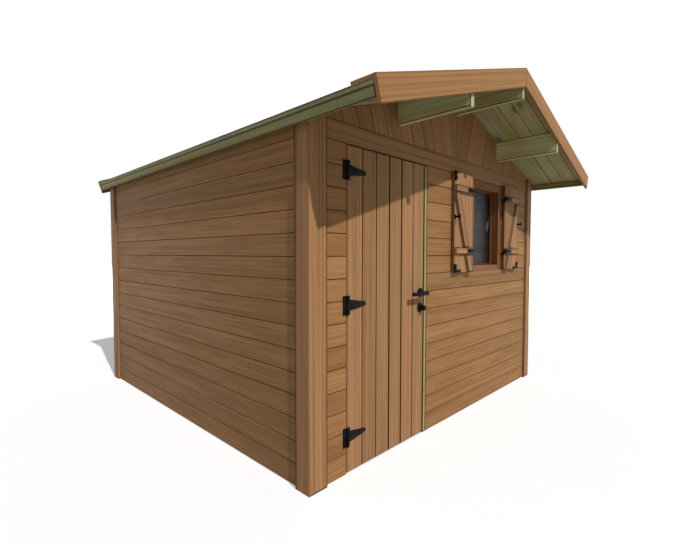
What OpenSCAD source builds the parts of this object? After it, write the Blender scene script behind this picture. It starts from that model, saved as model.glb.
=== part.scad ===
// Wooden garden shed: plank walls between corner posts, low gable roof with a deep front
// overhang, one ledged door and one window with a pair of braced shutters.
// Millimetres, +Z up, +X to the right seen from the front, which faces -Y.
// The origin is on the ground under the middle of the roof.

/* [Body] */
// Width over the corner posts
body_w = 3000; // [2900:10:3600]
// Depth over the corner posts
body_d = 3000; // [2200:10:4200]
// Height of one wall plank
plank_h = 124; // [118:1:132]
// Plank rows up to the door head
plank_rows = 15; // [15:1:16]
// Thickness of the wall planks
wall_t = 28; // [24:1:44]
// Width of the two left corner posts, seen from the front
post_wl = 130; // [100:1:140]
// Width of the two right corner posts, seen from the front
post_wr = 111; // [100:1:140]
// Depth of the corner posts, seen from the side
post_d = 116; // [100:1:140]
// How far the posts stand out of the planks
post_proud = 17; // [10:1:17]
// Height of the head board over the door and window
head_h = 108; // [90:1:130]

/* [Roof] */
// Pitch of the roof in degrees
pitch = 18; // [14:0.5:24]
// Overhang at the front, past the posts
front_over = 488; // [300:2:600]
// Overhang at the back, past the posts
back_over = 122; // [80:2:300]
// Overhang at each side, past the posts
side_over = 74; // [65:1:140]
// Thickness of the roof boards
deck_t = 22; // [16:1:28]
// Thickness of the roof covering
cover_t = 3; // [2:0.5:6]
// Width of the verge boards that lie on the roof edges
verge_w = 120; // [90:5:150]
// Thickness of the verge boards
verge_t = 18; // [14:1:24]
// Depth of the bargeboards
barge_h = 120; // [100:5:160]
// Thickness of the bargeboards
barge_t = 18; // [14:1:24]
// Depth of the eave battens under the roof boards
eave_h = 50; // [35:1:55]
// Thickness of the eave battens
eave_t = 27; // [20:1:32]
// Width of a purlin
purlin_w = 45; // [38:1:70]
// Depth of a purlin at its lower side
purlin_h = 147; // [100:1:160]
// Distance of the side purlins from the ridge
purlin_x = 717; // [600:1:800]
// Thickness of the block beside the ridge purlin at the front gable
block_w = 45; // [30:1:60]
// How far the block reaches out of the front gable and into the shed
block_l = 145; // [60:5:250]

/* [Door] */
// Left edge of the door leaf, from the left face of the left post
door_x = 299; // [280:1:330]
// Width of the door leaf
door_w = 761; // [700:1:820]
// Thickness of the door boards
door_t = 22; // [18:1:23]
// Gap under the door leaf
door_low = 8; // [6:1:20]
// Gap around the door leaf
door_gap = 5; // [5:0.5:8]
// Width of the jamb on the lock side
jamb_w = 39; // [30:1:60]
// Height of the lever's spindle
lever_z = 990; // [900:5:1100]
// Length of the lever from its spindle
lever_l = 165; // [110:1:180]

/* [Window] */
// Left edge of the window, from the left face of the left post
window_x = 1728; // [1700:1:1780]
// Width of the window
window_w = 598; // [560:2:640]
// Plank rows beside the window
window_rows = 6; // [5:1:7]
// Width of the window frame's sides and head
frame_w = 68; // [50:1:80]
// Height of the window frame's sill
sill_h = 40; // [30:1:60]
// Gap in the middle and at the hinges of the closed shutters, taken together
shutter_gap = 10; // [6:1:20]
// How far each shutter passes the window at the top and at the bottom
shutter_lap = 6; // [0:1:10]
// Thickness of the shutter boards
shutter_t = 20; // [16:1:22]
// Thickness of the shutter battens
batten_t = 18; // [14:1:20]

/* [Hidden] */
$fn = 32;
tol = 0.05;                       // radial clearance of pins in their knuckles
seat = 0.1;                       // clearance between the roof boards and what carries them

hw = body_w / 2;
total_d = front_over + body_d + back_over;
y_roof0 = -total_d / 2;           // front face of the front bargeboards
y_roof1 = total_d / 2;            // back face of the back bargeboards
y_post0 = y_roof0 + front_over;   // front face of the front posts
y_post1 = y_post0 + body_d;       // back face of the back posts
y_wall0 = y_post0 + post_proud;   // front face of the front planks
y_wall1 = y_post1 - post_proud;   // back face of the back planks
y_in = y_wall0 + wall_t;          // inner face of the front planks
x_wall = hw - post_proud;         // outer face of the side planks
x_postl = -hw + post_wl;          // inner side of the left posts
x_postr = hw - post_wr;           // inner side of the right posts
head_z = plank_h * plank_rows;    // underside of the head board
gable_z = head_z + head_h;        // underside of the gable boards

tp = tan(pitch);
eave_z = gable_z - 8;             // underside of the roof over the posts' outer faces
ridge_z = eave_z + hw * tp;       // underside of the roof at the ridge
top_h = deck_t + verge_t;         // from the roof's underside to the verge boards' top
slope_l = (hw + side_over - top_h * sin(pitch)) / cos(pitch);

door_x0 = -hw + door_x;
door_x1 = door_x0 + door_w;
door_z1 = head_z - door_gap - 1;
stop_l = 13;                      // how far a door stop covers the leaf
jamb_d = 32;                      // depth of the jambs behind the planks
hinge_x = door_x0 - door_gap / 2; // the door's hinge axis
hinge_y = y_wall0 - 8;
plate_h = 108;                    // height of a hinge plate
// heights of the three door hinges
hinge_zs = [door_low + 208, (door_low + door_z1 + 68) / 2 + 1, door_z1 - 140];
plate_t = 5;                      // thickness of the door ironwork
knuckle_r = 7.5;
knuckle_h = 56;                   // length of the moving knuckle
lever_x = door_x1 - 38;
lever_y = y_wall0 - 60;           // middle of the lever bar
key_z = lever_z - 103;
rose_r = 31;
neck_r = 10;

window_x0 = -hw + window_x;
window_x1 = window_x0 + window_w;
window_z0 = head_z - window_rows * plank_h;
frame_d = 60;                     // depth of the window frame
sash_y = y_wall0 + frame_d;       // front face of the sash, which closes on the frame's back
sash_d = 28;                      // thickness of the sash
sash_w = 30;                      // width of the sash's members
sash_lap = 25;                    // how far the sash covers the frame
glass_y = sash_y + 12;
glass_t = 4;

shutter_w = (window_w - shutter_gap) / 2;
shutter_z0 = window_z0 - shutter_lap;
shutter_z1 = head_z + shutter_lap;
pin_l = [window_x0 - 1, y_wall0 - 28];   // hinge axis of the left shutter
pin_r = [window_x1 + 1, y_wall0 - 28];   // hinge axis of the right shutter
shutter_e = 3;                    // from a hinge axis to the shutter's edge
board_y = 21;                     // from a hinge axis to the open shutter's back face
batten_h = 53;
batten_zs = [shutter_z0 + 139, shutter_z1 - 149];    // undersides of the battens
eye_h = 30;                       // height of a shutter hinge strap
brace_w = 76;                     // width of the brace, measured along a batten

// Height of the posts, gables and purlins under the roof boards
function under(x) = ridge_z - seat - abs(x) * tp;
ridge_low = under(purlin_w / 2) - purlin_h - 3;      // underside of the ridge purlin
// A point s down the left slope and h above the roof's underside
function sp(s, h) = [-s * cos(pitch) - h * sin(pitch),
    ridge_z - s * sin(pitch) + h * cos(pitch)];

module along_y(y0, y1) { translate([0, y1, 0]) rotate([90, 0, 0]) linear_extrude(y1 - y0) children(); }

module slab(x0, x1, y0, y1, z0, z1) { translate([x0, y0, z0]) cube([x1 - x0, y1 - y0, z1 - z0]); }

// A band of the left slope between two heights over the roof's underside
module band(h0, h1, s0 = -1) {
    a = s0 < 0 ? -h0 * tp : s0;
    b = s0 < 0 ? -h1 * tp : s0;
    polygon([sp(a, h0), sp(slope_l, h0), sp(slope_l, h1), sp(b, h1)]);
}

// A part that stands on the ground, with its top cut to the roof
module under_roof(x0, x1, y0, y1, z0 = 0) {
    along_y(y0, y1) polygon([[x0, z0], [x1, z0], [x1, under(x1)], [x0, under(x0)]]);
}

// Structure

module posts(y0) {
    under_roof(-hw, x_postl, y0, y0 + post_d);
    under_roof(x_postr, hw, y0, y0 + post_d);
}
module front_posts() { color("peru") posts(y_post0); }
module back_posts() { color("peru") posts(y_post1 - post_d); }

module side_wall() { under_roof(-x_wall, -x_wall + wall_t, y_post0 + post_d, y_post1 - post_d); }
module left_wall() { color("sandybrown") side_wall(); }
module right_wall() { color("sandybrown") mirror([1, 0, 0]) side_wall(); }
module back_wall() { color("sandybrown") slab(x_postl, x_postr, y_wall1 - wall_t, y_wall1, 0, head_z); }
module back_head_board() { color("peru") slab(x_postl, x_postr, y_wall1 - wall_t, y_wall1, head_z, gable_z); }

module purlin_profile(x) {
    low = x == 0 ? ridge_low
        : under(abs(x) + purlin_w / 2) - purlin_h;
    a = x - purlin_w / 2;
    b = x + purlin_w / 2;
    polygon(x == 0 ? [[a, low], [b, low], [b, under(b)], [0, under(0)], [a, under(a)]]
        : [[a, low], [b, low], [b, under(b)], [a, under(a)]]);
}
module block_profile() {
    a = -purlin_w / 2 - block_w;
    b = -purlin_w / 2;
    polygon([[a, ridge_low + 14], [b, ridge_low + 14], [b, under(b)], [a, under(a)]]);
}
module gable(y0) {
    along_y(y0, y0 + wall_t) difference() {
        polygon([[x_postl, gable_z], [x_postr, gable_z], [x_postr, under(x_postr)], [0, under(0)],
            [x_postl, under(x_postl)]]);
        purlin_profile(-purlin_x);
        purlin_profile(0);
        purlin_profile(purlin_x);
    }
}
module back_gable() { color("sienna") gable(y_wall1 - wall_t); }
module front_gable() {
    color("sienna") difference() {
        gable(y_wall0);
        along_y(y_wall0 - 1, y_in + 1) block_profile();
    }
}

module front_wall_left() { color("sandybrown") slab(x_postl, door_x0 - door_gap, y_wall0, y_in, 0, head_z); }
module front_wall_middle() {
    color("sandybrown") slab(door_x1 + door_gap + jamb_w, window_x0, y_wall0, y_in, 0, head_z);
}
module front_wall_right() { color("sandybrown") slab(window_x1, x_postr, y_wall0, y_in, 0, head_z); }
module window_apron() { color("sandybrown") slab(window_x0, window_x1, y_wall0, y_in, 0, window_z0); }
module front_head_board() { color("peru") slab(x_postl, x_postr, y_wall0, y_in, head_z, gable_z); }

module door_jambs() {
    color("olivedrab") {
        slab(door_x0 - 50, door_x0 + 10, y_in, y_in + jamb_d, 0, head_z - stop_l);
        slab(door_x1 + door_gap, door_x1 + door_gap + jamb_w, y_wall0, y_in + jamb_d, 0, head_z);
    }
}
module door_stops() {
    color("olivedrab") {
        slab(door_x1 + door_gap - stop_l, door_x1 + door_gap, y_in, y_in + jamb_d, 0, head_z - stop_l - 2);
        slab(door_x0 - 50, door_x1 + door_gap, y_in, y_in + jamb_d, head_z - stop_l, head_z + 40);
    }
}

// Roof

module purlin(x) { along_y(y_roof0 + barge_t, y_roof1 - barge_t) purlin_profile(x); }
module ridge_purlin() { color("olivedrab") purlin(0); }
module ridge_block() { color("olivedrab") along_y(y_wall0 - block_l, y_in + block_l) block_profile(); }
module side_purlins() { color("olivedrab") { purlin(-purlin_x); purlin(purlin_x); } }

module deck() { along_y(y_roof0 + barge_t, y_roof1 - barge_t) band(0, deck_t); }
module roof_deck_left() { color("darkkhaki") deck(); }
module roof_deck_right() { color("darkkhaki") mirror([1, 0, 0]) deck(); }

module cover() {
    along_y(y_roof0 + barge_t + verge_w, y_roof1 - barge_t - verge_w) band(deck_t, deck_t + cover_t);
}
module roof_cover_left() { color("dimgray") cover(); }
module roof_cover_right() { color("dimgray") mirror([1, 0, 0]) cover(); }

module eave_batten() { along_y(y_roof0 + barge_t, y_roof1 - barge_t) band(-eave_h, -seat, slope_l - eave_t); }
module eave_battens() { color("olivedrab") { eave_batten(); mirror([1, 0, 0]) eave_batten(); } }

module bargeboards() {
    along_y(y_roof0, y_roof0 + barge_t) band(top_h - barge_h, top_h);
    along_y(y_roof1 - barge_t, y_roof1) band(top_h - barge_h, top_h);
}
module bargeboards_left() { color("chocolate") bargeboards(); }
module bargeboards_right() { color("chocolate") mirror([1, 0, 0]) bargeboards(); }

module verge_boards() {
    along_y(y_roof0 + barge_t, y_roof0 + barge_t + verge_w) band(deck_t, top_h);
    along_y(y_roof1 - barge_t - verge_w, y_roof1 - barge_t) band(deck_t, top_h);
}
module verge_boards_left() { color("chocolate") verge_boards(); }
module verge_boards_right() { color("chocolate") mirror([1, 0, 0]) verge_boards(); }

// Window

module ring(x0, x1, y0, y1, z0, z1, w, low) {
    difference() {
        slab(x0, x1, y0, y1, z0, z1);
        slab(x0 + w, x1 - w, y0 - 1, y1 + 1, z0 + low, z1 - w);
    }
}
module window_frame() {
    color("saddlebrown") ring(window_x0, window_x1, y_wall0, y_wall0 + frame_d, window_z0, head_z,
        frame_w, sill_h);
}
module window_sash() {
    i = frame_w - sash_lap;
    color("saddlebrown") ring(window_x0 + i, window_x1 - i, sash_y, sash_y + sash_d,
        window_z0 + sill_h - sash_lap, head_z - i, sash_w, sash_w);
}
module window_glass() {
    i = frame_w - sash_lap + sash_w;
    color("lightblue", 0.4) slab(window_x0 + i, window_x1 - i, glass_y, glass_y + glass_t,
        window_z0 + sill_h - sash_lap + sash_w, head_z - i);
}
module window_handle() {
    x = window_x1 - frame_w + sash_lap - sash_w / 2;
    z = (window_z0 + head_z) / 2 + 43;
    y = sash_y + sash_d;
    color("silver") {
        slab(x - 12, x + 12, y, y + 4, z - 32, z + 32);
        slab(x - 6, x + 6, y + 4, y + 16, z - 6, z + 6);
        slab(x - 9, x + 9, y + 16, y + 26, z - 70, z + 12);
    }
}

// Door hinges: the plate and pin stay on the wall, the strap moves with the door

module tube_z(r0, r1, z0, z1) {
    translate([0, 0, z0]) difference() {
        cylinder(r = r1, h = z1 - z0);
        translate([0, 0, -1]) cylinder(r = r0, h = z1 - z0 + 2);
    }
}
module hinge_plate(z) {
    back = y_wall0 - hinge_y;
    translate([hinge_x, hinge_y, z]) {
        slab(-34, -knuckle_r - 1, back - plate_t, back, -plate_h / 2, plate_h / 2);
        for (s = [-1, 1]) {
            a = s < 0 ? -plate_h / 2 : knuckle_h / 2 + 1;
            b = s < 0 ? -knuckle_h / 2 - 1 : plate_h / 2;
            translate([0, 0, a]) cylinder(r = knuckle_r, h = b - a);
            slab(-knuckle_r - 2, 0, back - plate_t, back - 0.5, a, b);
        }
        translate([0, 0, -plate_h / 2]) cylinder(r = 4, h = plate_h);
    }
}
module hinge_plates() { color("dimgray") for (z = hinge_zs) hinge_plate(z); }

module hinge_strap(z) {
    back = y_wall0 - hinge_y;
    translate([hinge_x, hinge_y, z]) {
        tube_z(4 + tol, knuckle_r, -knuckle_h / 2, knuckle_h / 2);
        slab(4.6, 12, back - plate_t, back - 0.5, -knuckle_h / 2, knuckle_h / 2);
        translate([0, back, 0]) rotate([90, 0, 0]) linear_extrude(plate_t) {
            polygon([[9, -plate_h / 2], [21, -plate_h / 2], [21, -31], [143, -13], [157, -8], [157, 8],
                [143, 13], [21, 31], [21, plate_h / 2], [9, plate_h / 2]]);
        }
    }
}
module hinge_straps() { color("dimgray") for (z = hinge_zs) hinge_strap(z); }

// Door

module door_leaf() {
    color("burlywood") difference() {
        slab(door_x0, door_x1, y_wall0, y_wall0 + door_t, door_low, door_z1);
        translate([lever_x, y_wall0 - 1, lever_z]) rotate([-90, 0, 0]) cylinder(r = 14, h = door_t + 2);
    }
}
module door_ledges() {
    y = y_wall0 + door_t;
    color("burlywood") {
        for (i = [0:2])
            slab(door_x0 + 32, door_x1 - (i == 1 ? 110 : 32), y, y + 22, hinge_zs[i] - 48, hinge_zs[i] + 48);
        for (i = [0:1]) translate([0, y + 22, 0]) rotate([90, 0, 0]) linear_extrude(22)
            polygon([[door_x0 + 40, hinge_zs[i] + 51], [door_x0 + 140, hinge_zs[i] + 51],
                [door_x1 - 118, hinge_zs[i + 1] - 51], [door_x1 - 218, hinge_zs[i + 1] - 51]]);
    }
}

module disc_y(x, z, y0, y1, r) {
    translate([x, y0, z]) rotate([-90, 0, 0]) cylinder(r = r, h = y1 - y0, $fn = 48);
}
module lock_plates() {
    y1 = y_wall0 + door_t;
    color("dimgray") {
        for (p = [[y_wall0 - 8, y_wall0, rose_r], [y1, y1 + 8, rose_r - 7]]) {
            difference() {
                disc_y(lever_x, lever_z, p[0], p[1], p[2]);
                disc_y(lever_x, lever_z, p[0] - 1, p[1] + 1, neck_r + tol);
            }
            disc_y(lever_x - 2, key_z, p[0], p[1], p[2]);
        }
        disc_y(lever_x - 2, key_z, y_wall0 - 43, y_wall0 - 8, 17);
        disc_y(lever_x - 2, key_z, y1 + 8, y1 + 18, 12);
    }
}
module lever_bar(y) {
    translate([0, y, lever_z]) rotate([90, 0, 0]) translate([0, 0, -8]) linear_extrude(16) {
        translate([lever_x, 0]) circle(r = 14);
        translate([lever_x - lever_l + 12, 0]) circle(r = 12);
        polygon([[lever_x, -14], [lever_x, 14], [lever_x - lever_l + 12, 12], [lever_x - lever_l + 12, -12]]);
    }
}
module lever() {
    y1 = y_wall0 + door_t;
    color("black") {
        lever_bar(lever_y);
        lever_bar(y1 + 60);
        disc_y(lever_x, lever_z, lever_y, y_wall0 - 0.5, neck_r);
        disc_y(lever_x, lever_z, y1 + 0.5, y1 + 60, neck_r);
        disc_y(lever_x, lever_z, y_wall0 - 1, y1 + 1, 6);
    }
}

// Shutters, drawn open: coordinates run from the left shutter's hinge axis, at ground height

module shutter_board() {
    difference() {
        slab(-shutter_e - shutter_w, -shutter_e, board_y - shutter_t, board_y, shutter_z0, shutter_z1);
        for (z = batten_zs) slab(-10, 0, board_y - shutter_t - 1, board_y + 1, z - 12, z + 54);
    }
}
module shutter_battens() {
    y1 = board_y - shutter_t;
    x0 = -shutter_e - shutter_w;
    low = batten_zs[0];
    top = batten_zs[1];
    run = shutter_w - 73;
    // the brace follows one line, broken by the lower batten and cut off by the shutter's edge
    function bx(z) = x0 - brace_w + 61 + run * (top - z) / (top - shutter_z0);
    for (z = batten_zs) slab(x0, -12, y1 - batten_t, y1, z, z + batten_h);
    for (p = [[shutter_z0, low - 2], [low + batten_h + 2, top - 2]])
        translate([0, y1, 0]) rotate([90, 0, 0]) linear_extrude(batten_t) intersection() {
            translate([x0, 0]) square([shutter_w, head_z + 100]);
            polygon([[bx(p[0]), p[0]], [bx(p[0]) + brace_w, p[0]], [bx(p[1]) + brace_w, p[1]],
                [bx(p[1]), p[1]]]);
        }
}
module shutter_ironwork(top_bolt) {
    top = board_y - shutter_t;
    face = top - batten_t;
    x0 = -shutter_e - shutter_w;
    mid = (shutter_z0 + shutter_z1) / 2 + 42;
    for (z = batten_zs) translate([0, 0, z + (batten_h - eye_h) / 2]) {
        tube_z(4 + tol, 8, 0, eye_h);
        linear_extrude(eye_h)
            polygon([[-12, face - 4], [-12, face], [-7.2, -2.5], [-4.6, -5.6], [-10.5, face - 4]]);
        slab(-118, -12, face - 4, face, 0, eye_h);
    }
    // a bolt at the left shutter's top corner, a catch in the middle and a corner bolt at the bottom
    if (top_bolt) {
        slab(x0 + 1, x0 + 19, top - 12, top, shutter_z1 - 68, shutter_z1 + 2);
        slab(x0 + 19, x0 + 38, top - 9, top - 3, shutter_z1 - 50, shutter_z1 - 38);
    }
    slab(x0 + 4, x0 + 24, top - 4, top, mid - 16, mid + 16);
    slab(x0 + 10, x0 + 18, top - 36, top - 4, mid - 7, mid + 7);
    slab(x0 + 8, x0 + 20, top - 44, top - 36, mid - 16, mid + 16);
    slab(x0 + 1, x0 + 27, top - 12, top, shutter_z0 + 2, shutter_z0 + 66);
    slab(x0 + 27, x0 + 92, top - 12, top, shutter_z0 + 2, shutter_z0 + 24);
}
module pintle() {
    for (z = batten_zs) {
        slab(-4, 4, 0, 28, z - 6, z + 10);
        translate([0, 0, z - 6]) cylinder(r = 4, h = 16 + eye_h + 8);
    }
}
module at_left() { translate([pin_l[0], pin_l[1], 0]) children(); }
module at_right() { translate([pin_r[0], pin_r[1], 0]) mirror([1, 0, 0]) children(); }

module shutter_pintles() { color("dimgray") { at_left() pintle(); at_right() pintle(); } }
module shutter_left() { color("burlywood") at_left() shutter_board(); }
module shutter_left_battens() { color("tan") at_left() shutter_battens(); }
module shutter_left_ironwork() { color("dimgray") at_left() shutter_ironwork(true); }
module shutter_right() { color("burlywood") at_right() shutter_board(); }
module shutter_right_battens() { color("tan") at_right() shutter_battens(); }
module shutter_right_ironwork() { color("dimgray") at_right() shutter_ironwork(false); }

front_posts();
back_posts();
left_wall();
right_wall();
back_wall();
back_head_board();
back_gable();
front_wall_left();
front_wall_middle();
front_wall_right();
window_apron();
front_head_board();
front_gable();
door_jambs();
door_stops();
ridge_purlin();
ridge_block();
side_purlins();
roof_deck_left();
roof_deck_right();
roof_cover_left();
roof_cover_right();
eave_battens();
bargeboards_left();
bargeboards_right();
verge_boards_left();
verge_boards_right();
window_frame();
window_sash();
window_glass();
window_handle();
hinge_plates();
shutter_pintles();
door_leaf();
door_ledges();
hinge_straps();
lock_plates();
lever();
shutter_left();
shutter_left_battens();
shutter_left_ironwork();
shutter_right();
shutter_right_battens();
shutter_right_ironwork();
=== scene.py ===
"""Visual model of the wooden garden shed, built around the CAD frame (metres, front faces -Y)."""

import math
import random

import bmesh
import bpy
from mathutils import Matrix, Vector


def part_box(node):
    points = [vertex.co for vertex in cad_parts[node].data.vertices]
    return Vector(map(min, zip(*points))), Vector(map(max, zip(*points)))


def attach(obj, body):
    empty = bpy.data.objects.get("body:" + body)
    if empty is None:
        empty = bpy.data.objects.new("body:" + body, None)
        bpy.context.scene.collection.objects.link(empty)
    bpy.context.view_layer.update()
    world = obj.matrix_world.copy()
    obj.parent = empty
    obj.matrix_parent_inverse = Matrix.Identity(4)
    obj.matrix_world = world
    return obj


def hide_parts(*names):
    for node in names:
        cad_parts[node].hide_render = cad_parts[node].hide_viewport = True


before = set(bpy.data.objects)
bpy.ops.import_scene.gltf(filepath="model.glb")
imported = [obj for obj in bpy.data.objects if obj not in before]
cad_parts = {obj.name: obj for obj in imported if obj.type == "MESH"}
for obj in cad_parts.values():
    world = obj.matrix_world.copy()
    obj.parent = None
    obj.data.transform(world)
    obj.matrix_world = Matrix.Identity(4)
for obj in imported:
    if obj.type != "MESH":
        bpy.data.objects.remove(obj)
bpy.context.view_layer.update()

# ---------------------------------------------------------------- sizes taken from the CAD frame


def lo_hi(node):
    """The lowest and the highest corner of a CAD node's box."""
    low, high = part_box(node)
    return Vector(low), Vector(high)


POSTS_F, POSTS_B = lo_hi("front_posts"), lo_hi("back_posts")
WALL_L, WALL_B = lo_hi("left_wall"), lo_hi("back_wall")
WALL_FL, WALL_FM, WALL_FR = lo_hi("front_wall_left"), lo_hi("front_wall_middle"), lo_hi("front_wall_right")
APRON, HEAD_F = lo_hi("window_apron"), lo_hi("front_head_board")
DECK, COVER, BARGE = lo_hi("roof_deck_left"), lo_hi("roof_cover_left"), lo_hi("bargeboards_left")
RIDGE, BLOCK, SIDE_P = lo_hi("ridge_purlin"), lo_hi("ridge_block"), lo_hi("side_purlins")
FRAME, SASH, GLASS = lo_hi("window_frame"), lo_hi("window_sash"), lo_hi("window_glass")
DOOR, JAMBS, STOPS = lo_hi("door_leaf"), lo_hi("door_jambs"), lo_hi("door_stops")
SHUT, BATTENS = lo_hi("shutter_left"), lo_hi("shutter_left_battens")

PITCH = math.radians(18)  # slope of the roof
SIN, COS, TAN = math.sin(PITCH), math.cos(PITCH), math.tan(PITCH)
ROW = 0.124  # height of one wall plank
WALL_T = WALL_L[1].x - WALL_L[0].x
DECK_T = 0.022  # thickness of the roof boards
VERGE_T, VERGE_W = 0.018, 0.120  # boards that lie along the front and back edges of the roof
BARGE_T, BARGE_H = 0.018, 0.120  # boards that stand at those edges
TOP_H = DECK_T + VERGE_T
PURLIN_W = 0.045  # width of a side purlin
EAVE_H, EAVE_T = 0.050, 0.027  # battens under the eaves, square to the slope and along it
JOINT = 0.0004  # gap between neighbouring boards, behind their chamfers
SEAT = 0.0002  # clearance where a piece lies against another
SHY = 0.0003  # how far an edge stops short of its neighbour
RIDGE_Z = BARGE[1].z - TOP_H / COS  # underside of the roof boards at the ridge
SLOPE_L = (-BARGE[0].x - TOP_H * SIN) / COS  # length of a slope
HEAD_Z, GABLE_Z = HEAD_F[0].z, HEAD_F[1].z  # lower and upper edge of the head boards
Y_ROOF0, Y_ROOF1 = BARGE[0].y, BARGE[1].y  # front and back end of the roof
FACE_Y = WALL_FL[0].y  # outer face of the front wall
IN_Y = FACE_Y + WALL_T  # inner face of the front wall


def under(x):
    """Height of the roof boards' underside."""
    return RIDGE_Z - SEAT - abs(x) * TAN


# ---------------------------------------------------------------- boards: meshes with grain attributes

dice = random.Random(41)  # shades and grain offsets of the boards


def inset(poly, d):
    """A convex outline with every side moved in by d, or None where it is too small."""
    out, n = [], len(poly)
    for i in range(n):
        a, b, c = Vector(poly[i - 1]), Vector(poly[i]), Vector(poly[(i + 1) % n])
        e, f = (b - a).normalized(), (c - b).normalized()
        cross = e.x * f.y - e.y * f.x
        if cross < 1e-6:
            return None
        p, q = a + Vector((-e.y, e.x)) * d, b + Vector((-f.y, f.x)) * d
        out.append(p + e * (((q - p).x * f.y - (q - p).y * f.x) / cross))
    for i in range(n):
        if (out[(i + 1) % n] - out[i]).dot(Vector(poly[(i + 1) % n]) - Vector(poly[i])) <= 0:
            return None
    return out


def clip(poly, n, d):
    """The part of a convex outline where n . p <= d."""
    out = []
    for i, b in enumerate(poly):
        a = poly[i - 1]
        da, db = n[0] * a[0] + n[1] * a[1] - d, n[0] * b[0] + n[1] * b[1] - d
        if (da < 0) != (db < 0) and abs(da - db) > 1e-12:
            t = da / (da - db)
            out.append((a[0] + (b[0] - a[0]) * t, a[1] + (b[1] - a[1]) * t))
        if db <= 0:
            out.append(tuple(b))
    keep = [p for i, p in enumerate(out) if (Vector(p) - Vector(out[i - 1])).length > 1e-5]
    return keep if len(keep) > 2 else []


def area(poly):
    """Area of an outline, positive where it runs anticlockwise."""
    return 0.5 * sum(a[0] * b[1] - a[1] * b[0] for a, b in zip(poly, poly[1:] + poly[:1]))


def rect(u0, u1, v0, v1):
    """The outline of a rectangle."""
    return [(u0, v0), (u1, v0), (u1, v1), (u0, v1)]


class Boards:
    """One mesh made of many boards. Each board has its own grain offset and shade."""

    def __init__(self, name):
        """Starts without boards. grain and board get one vector for each corner of a face."""
        self.name, self.verts, self.faces = name, [], []
        self.grain, self.board = [], []

    def add(self, outline, axes, origin, thick, chamfer=0.003, dark=1.0, tone=None, cut=0.0, warp=None,
            turn=0.0, deep=0.0, rim=0.0, side=0.0, heel=0.0, quiet=None):
        """Extrudes a convex outline (u, v) by thick along w. axes are the directions of u, v and w.

        The grain follows u, or is turned from it by turn in the u, v plane. tone is how light the board's own
        colour is, which the dice give where it is None, and cut is how far the ends take the colour of end
        grain. warp moves each point (u, v, w). The rest paint shade: dark is how strongly the chamfers are
        darkened with painted shade, rim how far that painted shade runs onto both faces and heel how far it
        runs down the sides at the back. side paints shade on the sides, deep is the least painted shade
        anywhere, and edges that face the way of quiet stay clear of it."""
        eu, ev, ew = (Vector(a) for a in axes)
        poly = [Vector(p) for p in outline]
        if area([tuple(p) for p in poly]) < 0:
            poly.reverse()
        small = inset(poly, chamfer)
        while small is None and chamfer > 0.0002:
            chamfer *= 0.6
            small = inset(poly, chamfer)
        if small is None:
            return
        inner = None
        while rim > 0.0005 and inner is None:
            inner = inset(poly, chamfer + rim)
            rim *= 0.7
        face_in, start = (inner, 1.0) if inner else (small, 0.0)
        mid = thick - chamfer - heel
        # each strip runs from one (outline, height, painted shade) to the next, from the front face to the
        # back
        strips = [((small, 0.0, start), (poly, chamfer, 1.0)), ((poly, chamfer, side), (poly, mid, side))]
        if heel:
            strips.append(((poly, mid, side), (poly, thick - chamfer, 1.0)))
        strips.append(((poly, thick - chamfer, 1.0), (small, thick, start)))
        if inner:
            strips.insert(0, ((inner, 0.0, 0.0), (small, 0.0, 1.0)))
            strips.append(((small, thick, 1.0), (inner, thick, 0.0)))
        tone = dice.random() if tone is None else tone
        shift = Vector([dice.uniform(0, 40) for _ in range(3)])
        ca, sa = math.cos(turn), math.sin(turn)
        flip = eu.cross(ev).dot(ew) < 0
        base, n, rings, local = len(self.verts), len(poly), {}, []

        def ring(shape, w):
            """Number of the first point of an outline at height w."""
            key = (id(shape), round(w, 6))
            if key not in rings:
                rings[key] = len(local)
                local.extend(warp(q.x, q.y, w) if warp else (q.x, q.y, w) for q in shape)
            return rings[key]

        def face(ids, painted_shade, ends):
            """One face, with the painted shade at each of its corners."""
            if flip:
                ids, painted_shade = ids[::-1], painted_shade[::-1]
            self.faces.append([base + i for i in ids])
            for i, g in zip(ids, painted_shade):
                u, v, w = local[i]
                self.grain.append(Vector((u * ca + v * sa, v * ca - u * sa, w)) + shift)
                self.board.append((tone, max(g * dark, deep), ends))

        face([ring(face_in, 0.0) + i for i in range(n)][::-1], [0.0] * n, 0.0)
        face([ring(face_in, thick) + i for i in range(n)], [0.0] * n, 0.0)
        for i in range(n):
            j = (i + 1) % n
            edge = (poly[j] - poly[i]).normalized()
            ends = cut if abs(edge.y * ca - edge.x * sa) > 0.8 else 0.0
            clear = 0.2 if quiet and Vector((edge.y, -edge.x)).dot(Vector(quiet)) > 0.9 else 1.0
            for (p, h, g), (q, k, d) in strips:
                a, c = ring(p, h), ring(q, k)
                weak = 1.0 if p is q else clear
                shades = [g * weak, g * weak, d * weak, d * weak]
                face([a + i, a + j, c + j, c + i], shades, 0.0 if h == k else ends)
        self.verts += [Vector(origin) + eu * p[0] + ev * p[1] + ew * p[2] for p in local]

    def make(self, material, body="shed", stands_for=(), holes=()):
        """Makes the object and cuts the holes, given as (low corner, high corner), out of it."""
        mesh = bpy.data.meshes.new(self.name)
        mesh.from_pydata(self.verts, [], self.faces)
        for label, data in (("grain", self.grain), ("board", self.board)):
            layer = mesh.attributes.new(label, "FLOAT_VECTOR", "CORNER")
            layer.data.foreach_set("vector", [c for v in data for c in v])
        obj = show(self.name, mesh, material)
        for a, b in holes:
            cut_box(obj, a, b)
        finish_piece(obj, body, stands_for)


def show(name, mesh, material):
    """An object in the scene with this mesh and material."""
    obj = bpy.data.objects.new(name, mesh)
    bpy.context.scene.collection.objects.link(obj)
    obj.data.materials.append(material)
    return obj


def finish_piece(obj, body, stands_for=()):
    """Puts a piece on its body, in place of the CAD nodes that it stands for."""
    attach(obj, body)
    if stands_for:
        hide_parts(*stands_for)


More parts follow.
